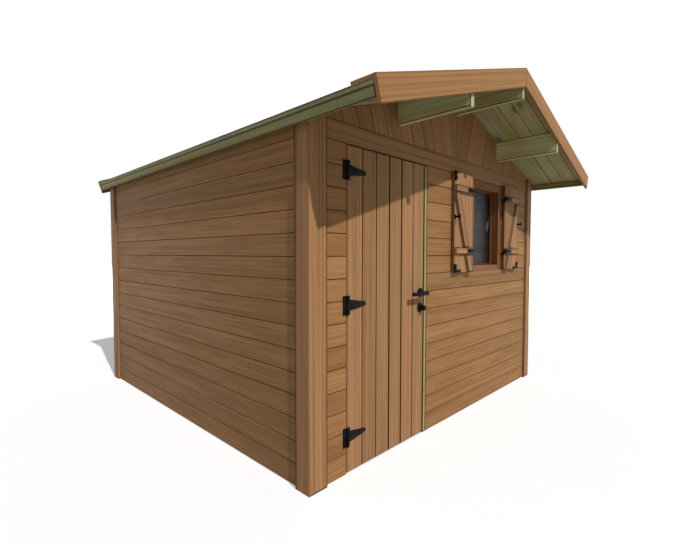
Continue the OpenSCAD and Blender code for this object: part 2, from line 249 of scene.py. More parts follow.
def apply_modifiers(obj):
    """Turns a piece's modifiers into plain mesh."""
    dg = bpy.context.evaluated_depsgraph_get()
    result = obj.evaluated_get(dg)
    mesh = bpy.data.meshes.new_from_object(result, preserve_all_data_layers=True, depsgraph=dg)
    obj.modifiers.clear()
    old, obj.data = obj.data, mesh
    bpy.data.meshes.remove(old)


def cut_box(obj, a, b):
    """Cuts an upright box, from corner a to corner b, out of a piece."""
    bm = bmesh.new()
    bmesh.ops.create_cube(bm, size=1)
    for v in bm.verts:
        v.co = Vector([a[k] + (b[k] - a[k]) * (v.co[k] + 0.5) for k in range(3)])
    mesh = bpy.data.meshes.new("cutter")
    bm.to_mesh(mesh)
    bm.free()
    tool = bpy.data.objects.new("cutter", mesh)
    bpy.context.scene.collection.objects.link(tool)
    mod = obj.modifiers.new("cut", "BOOLEAN")
    mod.operation, mod.object, mod.solver = "DIFFERENCE", tool, "EXACT"
    apply_modifiers(obj)
    bpy.data.objects.remove(tool)
    bpy.data.meshes.remove(mesh)


# ---------------------------------------------------------------- materials


class Tree:
    """Short calls for building the node tree of a material or of the world."""

    def __init__(self, owner):
        """Starts with an empty tree."""
        self.owner = owner
        owner.use_nodes = True
        self.tree = owner.node_tree
        self.tree.nodes.clear()

    def put(self, socket, value):
        """Links a socket to a socket, or sets its value."""
        if isinstance(value, bpy.types.NodeSocket):
            self.tree.links.new(value, socket)
        else:
            socket.default_value = value

    def node(self, kind, settings=None, **sockets):
        """A node with its settings and inputs."""
        n = self.tree.nodes.new("ShaderNode" + kind)
        for key, value in (settings or {}).items():
            setattr(n, key, value)
        for key, value in sockets.items():
            self.put(n.inputs[key.replace("_", " ")], value)
        return n

    def math(self, op, a, b=0.0, c=0.0):
        """One operation on up to three numbers."""
        n = self.node("Math", {"operation": op})
        for socket, value in zip(n.inputs, (a, b, c)):
            self.put(socket, value)
        return n.outputs[0]

    def scaled(self, vector, scale):
        """A vector scaled along each axis."""
        n = self.node("VectorMath", {"operation": "MULTIPLY"})
        self.put(n.inputs[0], vector)
        self.put(n.inputs[1], scale)
        return n.outputs[0]

    def noise(self, vector, detail=2.0, rough=0.5, scale=1.0):
        """Cloudy noise."""
        n = self.node("TexNoise", Vector=vector, Scale=scale, Detail=detail, Roughness=rough)
        return n.outputs["Fac"]

    def span(self, value, a, b, c=0.0, d=1.0):
        """Maps the span from a to b onto the span from c to d, and stops at its ends."""
        n = self.node("MapRange")
        for key, v in (("Value", value), ("From Min", a), ("From Max", b), ("To Min", c), ("To Max", d)):
            self.put(n.inputs[key], v)
        return n.outputs[0]

    def ramp(self, value, stops):
        """A colour from (position, colour) stops."""
        n = self.node("ValToRGB")
        while len(n.color_ramp.elements) < len(stops):
            n.color_ramp.elements.new(0.5)
        for element, (at, colour) in zip(n.color_ramp.elements, stops):
            element.position, element.color = at, (*colour, 1)
        self.put(n.inputs[0], value)
        return n.outputs[0]

    def mix(self, factor, a, b, blend="MIX"):
        """A mix of two colours."""
        n = self.node("Mix", {"data_type": "RGBA", "blend_type": blend})
        self.put(n.inputs[0], factor)
        self.put(n.inputs[6], a if isinstance(a, bpy.types.NodeSocket) else (*a, 1))
        self.put(n.inputs[7], b if isinstance(b, bpy.types.NodeSocket) else (*b, 1))
        return n.outputs[2]

    def choose(self, factor, first, second):
        """The first shader where the factor is 0, and the second where it is 1."""
        n = self.node("MixShader")
        for socket, value in zip(n.inputs, (factor, first, second)):
            self.put(socket, value)
        return n.outputs[0]

    def seen(self):
        """1 for what the camera sees, also by reflection or through glass, and 0 for bounced light."""
        path = self.node("LightPath").outputs
        direct = self.math("MAXIMUM", path["Is Camera Ray"], path["Is Glossy Ray"])
        return self.math("MAXIMUM", direct, path["Is Transmission Ray"])

    def bump(self, height, strength, distance):
        """A normal from a height."""
        n = self.node("Bump", Height=height, Strength=strength, Distance=distance)
        return n.outputs[0]

    def surface(self, **sockets):
        """Ends a material with the main shader."""
        shader = self.node("BsdfPrincipled", **sockets)
        self.node("OutputMaterial", Surface=shader.outputs[0])
        return self.owner


def srgb(r, g, b):
    """A colour given as 0-255 display values, in linear light."""
    values = (c / 255 for c in (r, g, b))
    return tuple(v / 12.92 if v <= 0.04045 else ((v + 0.055) / 1.055) ** 2.4 for v in values)


def wood(name, dark, mid, light, painted_shade, end, knots, patches=(), ring=38.0, rough=0.6, knot=1.0,
         cells=(2.3, 8.0, 3.0), fine=62.0):
    """Timber with streaks, growth rings and knots that follow each board's own grain coordinates.

    dark, mid and light are the streaks' colours, the next is the colour of the painted shade at edges and
    joints, and end is the end grain's.
    knots is the share of cells with a knot, cells their number along each axis and knot a knot's size.
    ring is the number of growth rings in a metre, and fine is how narrow the streaks are."""
    t = Tree(bpy.data.materials.new(name))
    grain = t.node("Attribute", {"attribute_name": "grain"}).outputs["Vector"]
    facts = t.node("SeparateXYZ", Vector=t.node("Attribute", {"attribute_name": "board"}).outputs["Vector"])
    tone, edge, ends = facts.outputs
    # knots, and how far they bend the rings round them
    slow = t.noise(t.scaled(grain, (1.3, 9.0, 9.0)), 2.0)
    spots = t.node("TexVoronoi", Vector=t.scaled(grain, cells), Scale=1.0)
    near = spots.outputs["Distance"]
    pick = t.node("SeparateColor", Color=spots.outputs["Color"]).outputs[0]
    has = t.span(pick, 1.0 - knots, 1.0 - knots + 0.02)
    falloff = t.math("POWER", 2.718, t.math("MULTIPLY", t.math("MULTIPLY", near, near), -28.0))
    bend = t.math("MULTIPLY", has, falloff)
    core = t.math("MULTIPLY", has, t.span(near, 0.125 * knot, 0.06 * knot))
    halo = t.math("MULTIPLY", has, t.span(near, 0.30 * knot, 0.10 * knot))
    # rings, streaks and fibres
    across = t.node("SeparateXYZ", Vector=grain).outputs[1]
    phase = t.math("ADD", t.math("MULTIPLY", across, ring), t.math("MULTIPLY", slow, 1.3))
    phase = t.math("ADD", phase, t.math("MULTIPLY", bend, 3.2))
    rings = t.math("MULTIPLY_ADD", t.math("SINE", t.math("MULTIPLY", phase, 6.2832)), 0.5, 0.5)
    streak = t.span(t.noise(t.scaled(grain, (0.55, fine, fine)), 3.0, 0.6), 0.28, 0.72)
    fibre = t.noise(t.scaled(grain, (11.0, 480.0, 480.0)), 2.0)
    value = t.math("MULTIPLY_ADD", rings, 0.16, t.math("MULTIPLY", streak, 0.58))
    value = t.math("MULTIPLY_ADD", fibre, 0.26, value)
    # colour: patches and knots, then end grain, the board's own shade, and the painted shade at its edges and
    # joints
    colour = t.ramp(value, [(0.12, dark), (0.48, mid), (0.86, light)])
    for k, tint in enumerate(patches):
        cloud = t.noise(t.scaled(grain, (2.4 - 0.6 * k, 10.0 + 3.0 * k, 10.0)), 2.0)
        colour = t.mix(t.math("MULTIPLY", t.span(cloud, 0.49, 0.64), 0.75), colour, tint)
    colour = t.mix(t.math("MULTIPLY", halo, 0.35), colour, dark)
    colour = t.mix(t.math("MULTIPLY", core, 0.8), colour, tuple(c * 0.42 for c in dark))
    rays = t.noise(t.scaled(grain, (2.0, 160.0, 160.0)), 2.0)
    colour = t.mix(ends, colour, t.mix(rays, tuple(c * 0.72 for c in end), end))
    shade = t.math("MULTIPLY_ADD", tone, 0.26, 0.87)
    grey = t.node("CombineColor", Red=shade, Green=shade, Blue=shade).outputs[0]
    colour = t.mix(1.0, colour, grey, "MULTIPLY")
    # painted shade at the edges, joints and sides that add() marks
    colour = t.mix(t.span(edge, 0.15, 0.85), colour, painted_shade)
    height = t.math("MULTIPLY_ADD", fibre, 0.5, t.math("MULTIPLY", streak, 0.5))
    height = t.math("MULTIPLY_ADD", core, -0.5, t.math("MULTIPLY_ADD", rings, 0.35, height))
    roughness = t.span(value, 0.1, 0.9, rough + 0.1, rough - 0.08)
    return t.surface(Base_Color=colour, Roughness=roughness, Normal=t.bump(height, 0.35, 0.0012),
                     Specular_IOR_Level=0.18)


def metal(name, colour, rough, metallic=0.0, grain=260.0, bump=0.12, gloss=0.5):
    """Painted or bare metal with a fine grain and a faintly cloudy colour."""
    t = Tree(bpy.data.materials.new(name))
    place = t.node("TexCoord").outputs["Object"]
    fine = t.noise(place, 3.0, 0.6, grain)
    wide = t.noise(place, 2.0, 0.5, 22.0)
    tint = t.mix(t.span(wide, 0.35, 0.7), colour, tuple(min(1.0, c * 1.7 + 0.006) for c in colour))
    return t.surface(Base_Color=tint, Roughness=t.span(fine, 0.3, 0.7, rough - 0.08, rough + 0.1),
                     Metallic=metallic, Normal=t.bump(fine, bump, 0.0006), Specular_IOR_Level=gloss)


def felt():
    """Grey mineral felt with light specks."""
    t = Tree(bpy.data.materials.new("mineral_felt"))
    place = t.node("TexCoord").outputs["Object"]
    specks = t.node("TexVoronoi", Vector=place, Scale=330.0)
    spot = t.node("SeparateColor", Color=specks.outputs["Color"]).outputs[0]
    cloud = t.noise(place, 4.0, 0.6, 1.7)
    base = t.mix(t.span(cloud, 0.3, 0.7), srgb(66, 70, 68), srgb(88, 91, 88))
    colour = t.mix(t.span(spot, 0.0, 1.0, 0.0, 0.75), base, srgb(118, 122, 118))
    height = t.math("MULTIPLY_ADD", cloud, 0.4, specks.outputs["Distance"])
    return t.surface(Base_Color=colour, Roughness=0.92, Normal=t.bump(height, 0.5, 0.0015),
                     Specular_IOR_Level=0.25)


def glass():
    """Thin window glass under a soft coat that picks up the light sky."""
    t = Tree(bpy.data.materials.new("window_glass"))
    place = t.node("TexCoord").outputs["Object"]
    haze = t.noise(t.scaled(place, (5.0, 5.0, 2.0)), 3.0)
    tint = t.mix(haze, srgb(194, 206, 218), srgb(206, 216, 226))
    return t.surface(Base_Color=tint, Roughness=0.03, Transmission_Weight=1.0, IOR=1.04, Coat_Weight=0.44,
                     Coat_Roughness=0.42, Coat_IOR=1.5)


# in each wood below, the colour after light is its painted shade at edges and joints
BROWN_PAINTED_SHADE = srgb(56, 33, 16)
PLANKS = wood("stained_planks", srgb(128, 87, 49), srgb(151, 109, 66), srgb(167, 125, 79), srgb(58, 34, 17),
              srgb(160, 118, 78), knots=0.05, patches=[srgb(160, 117, 73), srgb(141, 101, 60)], fine=44.0)
POST_WOOD = wood("stained_posts", srgb(124, 86, 52), srgb(151, 111, 74), srgb(169, 128, 88), BROWN_PAINTED_SHADE,
                 srgb(160, 120, 82), knots=0.04, ring=30.0)
GABLE_WOOD = wood("stained_gable", srgb(126, 87, 54), srgb(153, 112, 74), srgb(171, 129, 88), BROWN_PAINTED_SHADE,
                  srgb(160, 118, 80), knots=0.05)
TRIM_WOOD = wood("stained_trim", srgb(130, 90, 51), srgb(151, 110, 67), srgb(166, 124, 79), srgb(58, 34, 18),
                 srgb(174, 132, 92), knots=0.05, ring=44.0, fine=96.0)
DOOR_WOOD = wood("stained_door", srgb(129, 91, 57), srgb(154, 114, 76), srgb(172, 131, 90), srgb(38, 22, 12),
                 srgb(160, 120, 82), knots=0.03, ring=44.0)
SHUTTER_WOOD = wood("stained_shutters", srgb(132, 92, 57), srgb(156, 115, 76), srgb(173, 131, 90),
                    srgb(40, 24, 13), srgb(172, 132, 94), knots=0.03, ring=40.0)
GREEN_PAINTED_SHADE = srgb(52, 46, 18)
# painted light: the purlins' treated timber is lighter than its own colour, to make up for the shade under
# the roof
LIT_GREEN_WOOD = wood("treated_timber", srgb(160, 160, 112), srgb(190, 190, 144), srgb(206, 206, 162),
                  GREEN_PAINTED_SHADE, srgb(190, 190, 142), knots=0.05,
                  patches=[srgb(182, 166, 112), srgb(178, 188, 140)], ring=28.0)
# painted shade: the same treated timber made darker for the eave battens
SHADED_GREEN_WOOD = wood("treated_battens_shaded", srgb(122, 115, 68), srgb(146, 139, 90), srgb(163, 156, 106),
                 GREEN_PAINTED_SHADE, srgb(156, 150, 104), knots=0.2,
                 patches=[srgb(148, 134, 76), srgb(138, 141, 94)], ring=28.0)
JAMB_WOOD = wood("treated_jambs", srgb(144, 140, 84), srgb(172, 168, 108), srgb(188, 184, 126),
                 srgb(34, 26, 10), srgb(180, 178, 120), knots=0.1, ring=28.0)
ROOF_WOOD = wood("treated_boards", srgb(138, 134, 92), srgb(166, 164, 120), srgb(182, 182, 138),
                 GREEN_PAINTED_SHADE, srgb(150, 148, 110), knots=0.6,
                 patches=[srgb(166, 138, 104), srgb(160, 150, 76)], ring=22.0, knot=1.7,
                 cells=(3.4, 7.0, 3.0))
DARK_WOOD = wood("dark_joinery", srgb(76, 44, 20), srgb(112, 70, 34), srgb(146, 94, 50), srgb(34, 19, 10),
                 srgb(120, 76, 42), knots=0.04, ring=46.0, rough=0.5)
BLACK_IRON = metal("black_iron", srgb(6, 6, 6), 0.5, gloss=0.05)
SATIN = metal("satin_metal", srgb(222, 222, 219), 0.36, 0.25, 140.0, 0.05)
NAIL = metal("galvanised_nails", srgb(150, 152, 152), 0.5, 0.9, 200.0)
FELT, CLEAR = felt(), glass()

# ---------------------------------------------------------------- walls

X, Y, Z = Vector((1, 0, 0)), Vector((0, 1, 0)), Vector((0, 0, 1))
LEVEL, LEVEL_BACK = (X, Z, Y), (X, Z, -Y)  # axes of level boards, seen from the front and from behind
UPRIGHT, UPRIGHT_BACK = (Z, X, Y), (Z, X, -Y)  # axes of upright boards
PLANK_C = 0.0038  # chamfer of the planks


def row_tones(seed, spread=1.0, count=20):
    """Fixed shades for the rows of planks in one wall."""
    local = random.Random(seed)
    return [local.random() * spread for _ in range(count)]


def plank_rows(boards, a0, a1, axes, origin, z0, z1, tones, quiet=None):
    """Horizontal planks from z0 to z1 in rows that count from the ground."""
    row = int(round(z0 / ROW))
    while row * ROW < z1 - 1e-4:
        low, high = max(z0, row * ROW), min(z1, (row + 1) * ROW)
        outline = rect(a0, a1, low + JOINT / 2, high - JOINT / 2)
        boards.add(outline, axes, origin, WALL_T, PLANK_C, tone=tones[row], cut=0.3, quiet=quiet)
        row += 1


# the side walls' rows take only the darkest third of the tones: painted shade, as the sides get less light,
# and less difference between rows
for side, name, node in ((-1, "left_wall_planks", "left_wall"), (1, "right_wall_planks", "right_wall")):
    b = Boards(name)
    face_x = side * -WALL_L[0].x
    plank_rows(b, WALL_L[0].y, WALL_L[1].y, (Y, Z, -side * X), (face_x, 0, 0), 0, under(face_x),
               row_tones(11 + side, 0.3))
    b.make(PLANKS, stands_for=[node])

b = Boards("back_wall_planks")
plank_rows(b, WALL_B[0].x, WALL_B[1].x, LEVEL_BACK, (0, WALL_B[1].y, 0), 0, HEAD_Z, row_tones(14))
b.make(PLANKS, stands_for=["back_wall"])

front_face = (0, FACE_Y, 0)
b = Boards("front_planks_left")
plank_rows(b, WALL_FL[0].x, WALL_FL[1].x, LEVEL, front_face, 0, HEAD_Z, row_tones(15), (1, 0))
b.make(PLANKS, stands_for=["front_wall_left"])

# the rows below the window run through, and those beside it stop at it
b = Boards("front_planks_right")
tones = row_tones(16)
sill_z = APRON[1].z
plank_rows(b, WALL_FM[0].x, WALL_FR[1].x, LEVEL, front_face, 0, sill_z, tones)
plank_rows(b, WALL_FM[0].x, WALL_FM[1].x, LEVEL, front_face, sill_z, HEAD_Z, tones)
plank_rows(b, WALL_FR[0].x, WALL_FR[1].x, LEVEL, front_face, sill_z, HEAD_Z, row_tones(17))
b.make(PLANKS, stands_for=["front_wall_middle", "front_wall_right", "window_apron"])

for name, node, axes, y in (("front_head_plank", "front_head_board", LEVEL, FACE_Y),
                            ("back_head_plank", "back_head_board", LEVEL_BACK, WALL_B[1].y)):
    b = Boards(name)
    outline = rect(HEAD_F[0].x, HEAD_F[1].x, HEAD_Z + JOINT, GABLE_Z - JOINT)
    b.add(outline, axes, (0, y, 0), WALL_T, PLANK_C, tone=0.55)
    b.make(POST_WOOD, stands_for=[node])


def posts(name, node, box, axes, y, deep=0.0):
    """Two corner posts, cut at the roof's slope. Painted shade darkens their edges and the backs of their
    sides, where they meet the wall; their outer edges stay clear, and deep adds a faint painted shade all
    over.
    """
    b = Boards(name)
    for x0, x1, outer in ((box[0].x, HEAD_F[0].x, -1), (HEAD_F[1].x, box[1].x, 1)):
        outline = [(0, x0), (under(x0), x0), (under(x1), x1), (0, x1)]
        b.add(outline, axes, (0, y, 0), box[1].y - box[0].y, cut=0.6, rim=0.013, heel=0.02, quiet=(0, outer),
              deep=deep)
    b.make(POST_WOOD, stands_for=[node])


posts("front_post_timbers", "front_posts", POSTS_F, UPRIGHT, POSTS_F[0].y)
posts("back_post_timbers", "back_posts", POSTS_B, UPRIGHT_BACK, POSTS_B[1].y, deep=0.16)

# ---------------------------------------------------------------- gables

BOARD_PITCH = 0.1275  # width of the gable's boards, measured along the slope
FIRST_EDGE = 0.021  # first edge between boards, measured down the slope
side_purlins = [(SIDE_P[0].x, SIDE_P[0].x + PURLIN_W, SIDE_P[0].z),
                (SIDE_P[1].x - PURLIN_W, SIDE_P[1].x, SIDE_P[0].z)]
purlin_holes = [(-RIDGE[1].x, RIDGE[1].x, RIDGE[0].z), *side_purlins]  # left, right and low edge of each


def gable_board(side, v0):
    """Outline, up the board and down the slope, of the board that starts at v0, or none off the gable."""
    up = Vector((side * SIN, COS))
    down = Vector((side * COS, -SIN))
    v1 = v0 + BOARD_PITCH
    ends = ((-3, v0 + JOINT / 2), (4, v0 + JOINT / 2), (4, v1 - JOINT / 2), (-3, v1 - JOINT / 2))
    poly = [tuple(up * u + down * v) for u, v in ends]
    if area(poly) < 0:
        poly.reverse()
    reach = abs(HEAD_F[0].x if side < 0 else HEAD_F[1].x)
    for n, d in (((0, -1), -(GABLE_Z + JOINT)), ((side, 0), reach - JOINT), ((-side, 0), -JOINT / 2),
                 ((side * TAN, 1), RIDGE_Z - SHY)):
        poly = clip(poly, n, d) if poly else poly
    return [(Vector(p).dot(up), Vector(p).dot(down)) for p in poly] if abs(area(poly)) > 2e-4 else []


def gable(name, node, inward, y, holes):
    """Boards square to each slope, which meet under the ridge."""
    b = Boards(name)
    for side in (-1, 1):
        axes = (Vector((side * SIN, 0, COS)), Vector((side * COS, 0, -SIN)), inward)
        start = Vector((0, GABLE_Z)).dot(Vector((side * COS, -SIN))) + FIRST_EDGE
        for k in range(-9, 30):
            outline = gable_board(side, start + k * BOARD_PITCH)
            if outline:
                b.add(outline, axes, (0, y, 0), WALL_T, PLANK_C, cut=0.2)
    b.make(GABLE_WOOD, stands_for=[node], holes=holes)


def hole_boxes(y0, y1, extra=()):
    """Boxes that cut the purlins' holes, each open upwards, through a gable from y0 to y1."""
    return [((a, y0 - 0.01, z), (c, y1 + 0.01, z + 0.5)) for a, c, z in [*purlin_holes, *extra]]


block_hole = (BLOCK[0].x, BLOCK[1].x, BLOCK[0].z)
gable("front_gable_boards", "front_gable", Y, FACE_Y, hole_boxes(FACE_Y, IN_Y, [block_hole]))
gable("back_gable_boards", "back_gable", -Y, WALL_B[1].y, hole_boxes(WALL_B[0].y, WALL_B[1].y))

# ---------------------------------------------------------------- roof

FIRST_JOINTS = (0.0, 0.069, 0.181, 0.287, 0.487)  # of the boards at the front, counted from the edge
ROOF_BOARD = 0.118  # width of the boards behind them
RIDGE_POINT = Vector((0, 0, RIDGE_Z))


def slope_axes(side):
    """Directions down the slope, along the ridge and out of the roof, for one side."""
    return Vector((side * COS, 0, -SIN)), Y, Vector((side * SIN, 0, COS))


def mitre(u, v, w):
    """Cuts the ridge end of a roof board upright."""
    return (u - w * TAN if u < 0.01 else u, v, w)


def verge_mitre(u, v, w):
    """Cuts the ridge end of a board on top of the roof boards upright."""
    return (u - (w + DECK_T) * TAN + SEAT if u < 0.01 else u, v, w)


deck_joints = [DECK[0].y + d for d in FIRST_JOINTS]
while deck_joints[-1] < DECK[1].y - 0.1:
    deck_joints.append(deck_joints[-1] + ROOF_BOARD)
deck_joints[-1] = DECK[1].y
for side, name, node in ((-1, "roof_boards_left", "roof_deck_left"),
                         (1, "roof_boards_right", "roof_deck_right")):
    b = Boards(name)
    for y0, y1 in zip(deck_joints, deck_joints[1:]):
        outline = rect(0, SLOPE_L - 0.0005, y0 + JOINT / 2, y1 - JOINT / 2)
        b.add(outline, slope_axes(side), RIDGE_POINT, DECK_T, 0.0036, cut=0.8, warp=mitre)
    b.make(ROOF_WOOD, stands_for=[node])


def purlin(b, x0, x1, y0, y1, low):
    """A timber along the roof, with its top cut to the slope above it."""
    top = max(under(x0), under(x1))

    def slope(u, v, w):
        """Lowers the points at the top to the roof boards."""
        return u, (v if v < (low + top) / 2 else v - top + min(top, under(x0 + w))), w

    # rim and heel paint shade along the timber's edges
    b.add(rect(y0, y1, low, top), (Y, Z, X), (x0, 0, 0), x1 - x0, 0.0032, cut=1.0, rim=0.004, warp=slope,
          heel=0.005)


b = Boards("ridge_purlin_timber")
purlin(b, RIDGE[0].x, RIDGE[1].x, RIDGE[0].y, RIDGE[1].y, RIDGE[0].z)
b.make(LIT_GREEN_WOOD, stands_for=["ridge_purlin"])
b = Boards("ridge_block_timber")
purlin(b, BLOCK[0].x, BLOCK[1].x - SHY, BLOCK[0].y, BLOCK[1].y, BLOCK[0].z)
b.make(LIT_GREEN_WOOD, stands_for=["ridge_block"])
b = Boards("side_purlin_timbers")
for x0, x1, z in side_purlins:
    purlin(b, x0, x1, SIDE_P[0].y, SIDE_P[1].y, z)
b.make(LIT_GREEN_WOOD, stands_for=["side_purlins"])

b = Boards("eave_batten_timbers")
# painted light and shade: the right batten takes the lightest tone and the left the darkest; rims paint shade
# along their edges
for side in (-1, 1):
    down, along, out = slope_axes(side)
    at = RIDGE_POINT + down * (SLOPE_L - EAVE_T)
    b.add(rect(DECK[0].y, DECK[1].y, -EAVE_H, -SHY), (along, out, down), at, EAVE_T, cut=0.9, rim=0.006,
          tone=0.5 + side * 0.5)
b.make(SHADED_GREEN_WOOD, stands_for=["eave_battens"])


def edge_boards(side, tag):
    """The bargeboards and the verge boards of one slope, each at the front and at the back."""
    down, along, out = slope_axes(side)
    low, top = TOP_H - BARGE_H, TOP_H
    b = Boards("bargeboard_trims_" + tag)
    outline = [(-low * TAN + SEAT, low), (SLOPE_L, low), (SLOPE_L, top), (-top * TAN + SEAT, top)]
    axes = (down, out, along)
    b.add(outline, axes, RIDGE_POINT + along * Y_ROOF0, BARGE_T, 0.0022, dark=0.7, tone=0.6, cut=0.6,
          rim=0.0012)
    b.add(outline, axes, RIDGE_POINT + along * (Y_ROOF1 - BARGE_T), BARGE_T, 0.0022, dark=0.35, tone=0.45,
          cut=0.6)
    b.make(TRIM_WOOD, stands_for=["bargeboards_" + tag])
    b = Boards("verge_trims_" + tag)
    for y in (Y_ROOF0 + BARGE_T, Y_ROOF1 - BARGE_T - VERGE_W):
        b.add(rect(0, SLOPE_L, y + SHY, y + VERGE_W - SHY), (down, along, out), RIDGE_POINT + out * DECK_T,
              VERGE_T, 0.0022, dark=0.4, cut=0.6, warp=verge_mitre)
    b.make(TRIM_WOOD, stands_for=["verge_boards_" + tag])


edge_boards(-1, "left")
edge_boards(1, "right")

# ---------------------------------------------------------------- felt

FELT_T, LAP = 0.002, 0.0026  # thickness of the felt, and how far a lap lifts the sheet above
FELT_Y0, FELT_Y1 = COVER[0].y + 0.0005, COVER[1].y - 0.0005


def felt_sheet(bm, side, profile, seed):
    """A sheet between the verge boards: (down the slope, height) points drawn along the ridge."""
    down, along, out = slope_axes(side)
    local = random.Random(seed)
    steps = 46
    rows = []
    for i in range(steps + 1):
        middle = RIDGE_POINT + along * (FELT_Y0 + (FELT_Y1 - FELT_Y0) * i / steps)
        top = [middle + down * s + out * (h + FELT_T + local.uniform(0.0, 0.0005)) for s, h in profile]
        below = [middle + down * s + out * h for s, h in reversed(profile)]
        rows.append([bm.verts.new(p) for p in top + below])
    n = len(rows[0])
    for a, c in zip(rows, rows[1:]):
        for k in range(n):
            bm.faces.new([a[k], a[(k + 1) % n], c[(k + 1) % n], c[k]])
    bm.faces.new(rows[0][::-1])
    bm.faces.new(rows[-1])


def mesh_piece(name, bm, material, body, stands_for=(), smooth=None):
    """A piece from a built mesh, shaded smooth up to an angle in degrees."""
    bmesh.ops.recalc_face_normals(bm, faces=bm.faces)
    mesh = bpy.data.meshes.new(name)
    bm.to_mesh(mesh)
    bm.free()
    obj = show(name, mesh, material)
    if smooth:
        mesh.shade_smooth()
        mesh.set_sharp_from_angle(angle=math.radians(smooth))
    finish_piece(obj, body, stands_for)


low = DECK_T + SEAT  # underside of the felt
high = low + LAP  # underside where it laps over the sheet below
for side, tag in ((-1, "left"), (1, "right")):
    bm = bmesh.new()
    felt_sheet(bm, side, [(0.86, low), (1.25, low), (SLOPE_L, low)], 5)
    felt_sheet(bm, side, [(-low * TAN, low), (0.4, low), (0.84, low), (0.858, high), (0.96, high)], 6)
    felt_sheet(bm, side, [(-high * TAN, high), (0.16, high)], 7)
    mesh_piece("felt_sheets_" + tag, bm, FELT, "shed", ["roof_cover_" + tag])


def dome(bm, at, normal, radius, height, sides=12):
    """A low round head on a surface."""
    normal = Vector(normal).normalized()
    u = normal.orthogonal().normalized()
    v = normal.cross(u)
    angles = [2 * math.pi * k / sides for k in range(sides)]
    rings = []
    for r, h in ((1.0, 0.0), (1.0, 0.35), (0.82, 0.8), (0.45, 1.0)):
        middle = Vector(at) + normal * height * h
        points = [middle + (u * math.cos(a) + v * math.sin(a)) * radius * r for a in angles]
        rings.append([bm.verts.new(p) for p in points])
    for a, c in zip(rings, rings[1:]):
        for k in range(sides):
            bm.faces.new([a[k], a[(k + 1) % sides], c[(k + 1) % sides], c[k]])
    bm.faces.new(rings[-1])
    bm.faces.new(rings[0][::-1])


bm = bmesh.new()
for side in (-1, 1):
    down, along, out = slope_axes(side)
    # rows of nails along both laps and the eave: distance down the slope and height
    for s, h in ((0.945, DECK_T + 0.0048), (0.145, DECK_T + 0.0048), (SLOPE_L - 0.02, DECK_T + 0.0022)):
        for i in range(23):
            y = FELT_Y0 + 0.04 + (FELT_Y1 - FELT_Y0 - 0.08) * i / 22
            dome(bm, RIDGE_POINT + down * s + along * y + out * h, out, 0.005, 0.0012, 10)
mesh_piece("felt_nails", bm, NAIL, "shed", smooth=40)

# ---------------------------------------------------------------- door

DOOR_W, DOOR_T = (DOOR[1].x - DOOR[0].x) / 6, DOOR[1].y - DOOR[0].y  # of each of the six boards
GROOVE = 0.006  # width of the two open joints
DOOR_GAPS = (0.0, JOINT, JOINT, GROOVE, GROOVE, JOINT, 0.0)
HINGE_X = DOOR[0].x - 0.0025
HINGE_Z = (0.216, 0.966, 1.714)  # middles of the hinges and of the ledges behind them
LEDGE_H, LEDGE_T, LEDGE_C = 0.096, 0.022, 0.005
BRACE_W = 0.1

b = Boards("door_boards")
for i in range(6):
    x0 = DOOR[0].x + i * DOOR_W + DOOR_GAPS[i] / 2
    x1 = DOOR[0].x + (i + 1) * DOOR_W - DOOR_GAPS[i + 1] / 2
    # the boards beside the two open joints get dark sides: painted shade in the joints
    b.add(rect(DOOR[0].z, DOOR[1].z, x0, x1), UPRIGHT, (0, DOOR[0].y, 0), DOOR_T, 0.0034, cut=0.3,
          side=float(i in (2, 3, 4)), rim=0.001, quiet=None if i else (0, -1))
# dark tongues at the bottom of the open joints, dark all over: painted shade in the joints
for i in (3, 4):
    x = DOOR[0].x + i * DOOR_W
    outline = rect(DOOR[0].z, DOOR[1].z, x - GROOVE / 2 + 0.0001, x + GROOVE / 2 - 0.0001)
    b.add(outline, UPRIGHT, (0, DOOR[0].y + 0.009, 0), 0.008, 0.0004, deep=1.0)
b.make(DOOR_WOOD, "door", ["door_leaf"])

b = Boards("door_ledge_timbers")
for i, z in enumerate(HINGE_Z):
    x1 = DOOR[1].x - (0.110 if i == 1 else 0.032)  # the middle one stops before the lock
    b.add(rect(DOOR[0].x + 0.032, x1, z - LEDGE_H / 2, z + LEDGE_H / 2), LEVEL, (0, DOOR[1].y, 0), LEDGE_T,
          LEDGE_C, dark=0.2)
# the braces rise from the hinge side, one below the other
for i in (0, 1):
    z0, z1 = HINGE_Z[i] + 0.051, HINGE_Z[i + 1] - 0.051
    x0, x1 = DOOR[0].x + 0.040, DOOR[1].x - 0.218
    lean = math.atan2(z1 - z0, x1 - x0)
    b.add([(x0, z0), (x0 + BRACE_W, z0), (x1 + BRACE_W, z1), (x1, z1)], LEVEL, (0, DOOR[1].y, 0), LEDGE_T,
          LEDGE_C, dark=0.2, turn=lean)
b.make(DOOR_WOOD, "door", ["door_ledges"])

LOCK_JAMB_W, HINGE_JAMB_W, STOP_W = 0.039, 0.060, 0.013
depth = JAMBS[1].y - FACE_Y
behind = (0, IN_Y + SEAT, 0)
b = Boards("door_jamb_timbers")
